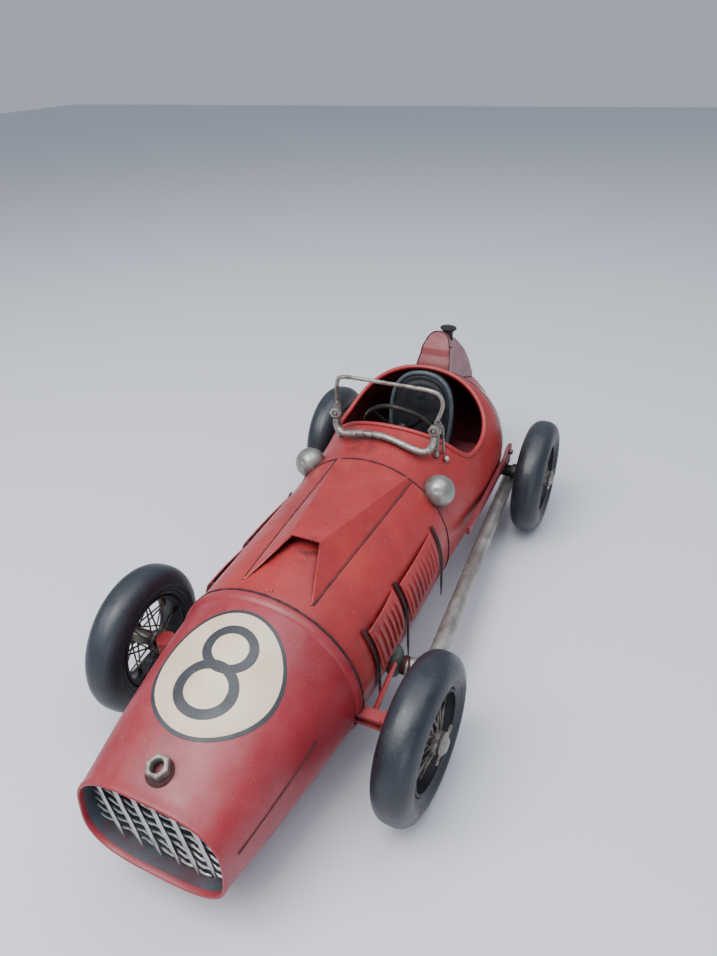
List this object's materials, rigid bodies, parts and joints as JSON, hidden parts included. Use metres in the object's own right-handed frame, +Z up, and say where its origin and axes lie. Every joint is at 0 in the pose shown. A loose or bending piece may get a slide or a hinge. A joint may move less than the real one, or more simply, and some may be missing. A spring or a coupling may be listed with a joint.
{
  "type": "friction toy racing car",
  "caption": "Open-cockpit tin racing car with wire wheels, a louvred bonnet, a side exhaust and a friction motor on its rear axle.",
  "frame": {"origin": "middle of the footprint, on the ground under the tyres", "axes": "+Z up, -Y towards the nose, +Y towards the tail, +X to the driver's left"},
  "size_m": [0.1572, 0.371, 0.1186],
  "materials": {
    "red_paint": "satin red paint on tin, worn and grimy at seams",
    "dark_red_paint": "dull dark red paint",
    "bright_steel": "dull silver, brushed and spotted",
    "aged_steel": "aged steel with brown tarnish",
    "dark_steel": "blackened steel with grey-green bloom",
    "tyre": "smooth blue-black rubber with dust",
    "black_leather": "black hide with a dull sheen",
    "gear_brass": "stamped brass, dull",
    "cream_paint": "aged cream paint",
    "black_paint": "satin black paint"
  },
  "bodies": {
    "root": {"nose_shell": "red_paint", "bonnet_shell": "red_paint", "bonnet_scoop": "red_paint", "cowl_shell": "red_paint", "tail_shell": "red_paint", "headrest_fin": "red_paint", "louvre_flap_front_left": "red_paint", "louvre_flap_front_right": "red_paint", "louvre_flap_rear_left": "red_paint", "louvre_flap_rear_right": "red_paint", "front_radius_rod_left": "red_paint", "front_radius_rod_right": "red_paint", "floor_pan": "dark_red_paint", "seat_deck": "dark_red_paint", "front_axle_beam": "dark_red_paint", "rear_arm_left": "dark_red_paint", "rear_arm_right": "dark_red_paint", "grille": "bright_steel", "headlamp_left": "bright_steel", "headlamp_right": "bright_steel", "nose_nut": "aged_steel", "windscreen_frame": "aged_steel", "windscreen_tube": "aged_steel", "exhaust_pipe": "aged_steel", "windscreen_nut_left": "aged_steel", "windscreen_nut_right": "aged_steel", "windscreen_post_left": "aged_steel", "windscreen_post_right": "aged_steel", "motor_plate_left": "aged_steel", "motor_plate_right": "aged_steel", "filler_cap": "dark_steel", "steering_column": "dark_steel", "exhaust_manifold": "dark_steel", "side_strap_left": "dark_steel", "side_strap_right": "dark_steel", "rear_bearing_left": "dark_steel", "rear_bearing_right": "dark_steel", "seat_back": "black_leather", "seat_cushion": "black_leather"},
    "front_wheel_left": {"tyre_front_left": "tyre", "wire_wheel_front_left": "aged_steel", "hub_nut_front_left": "aged_steel"},
    "front_wheel_right": {"tyre_front_right": "tyre", "wire_wheel_front_right": "aged_steel", "hub_nut_front_right": "aged_steel"},
    "rear_axle_set": {"rear_axle": "aged_steel", "axle_gear": "gear_brass", "tyre_rear_left": "tyre", "wire_wheel_rear_left": "aged_steel", "hub_nut_rear_left": "aged_steel", "tyre_rear_right": "tyre", "wire_wheel_rear_right": "aged_steel", "hub_nut_rear_right": "aged_steel"},
    "idler": {"idler_gear": "gear_brass", "idler_shaft": "aged_steel"},
    "flywheel_set": {"flywheel": "dark_steel", "flywheel_pinion": "gear_brass", "flywheel_shaft": "aged_steel"},
    "steering": {"steering_wheel": "dark_steel"}
  },
  "joints": [
    {"name": "front_left_spin", "type": "hinge", "parent": "root", "child": "front_wheel_left", "pos_m": [0.0675, -0.10451, 0.034], "axis": [0.9986, -0.0523, 0], "continuous": true},
    {"name": "front_right_spin", "type": "hinge", "parent": "root", "child": "front_wheel_right", "pos_m": [-0.0675, -0.10451, 0.034], "axis": [0.9986, 0.0523, 0], "continuous": true},
    {"name": "rear_axle_spin", "type": "hinge", "parent": "root", "child": "rear_axle_set", "pos_m": [0, 0.09749, 0.034], "axis": [1, 0, 0], "continuous": true},
    {"name": "idler_spin", "type": "hinge", "parent": "root", "child": "idler", "pos_m": [0, 0.08149, 0.034], "axis": [1, 0, 0], "continuous": true},
    {"name": "flywheel_spin", "type": "hinge", "parent": "root", "child": "flywheel_set", "pos_m": [0, 0.06628, 0.034], "axis": [1, 0, 0], "continuous": true},
    {"name": "steering_spin", "type": "hinge", "parent": "root", "child": "steering", "pos_m": [0, 0.04448, 0.079], "axis": [0, 0.9037, 0.4281], "continuous": true}
  ],
  "couplings": [
    {"joint": "idler_spin", "follows": "rear_axle_spin", "ratio": -3},
    {"joint": "flywheel_spin", "follows": "rear_axle_spin", "ratio": 11.25}
  ]
}
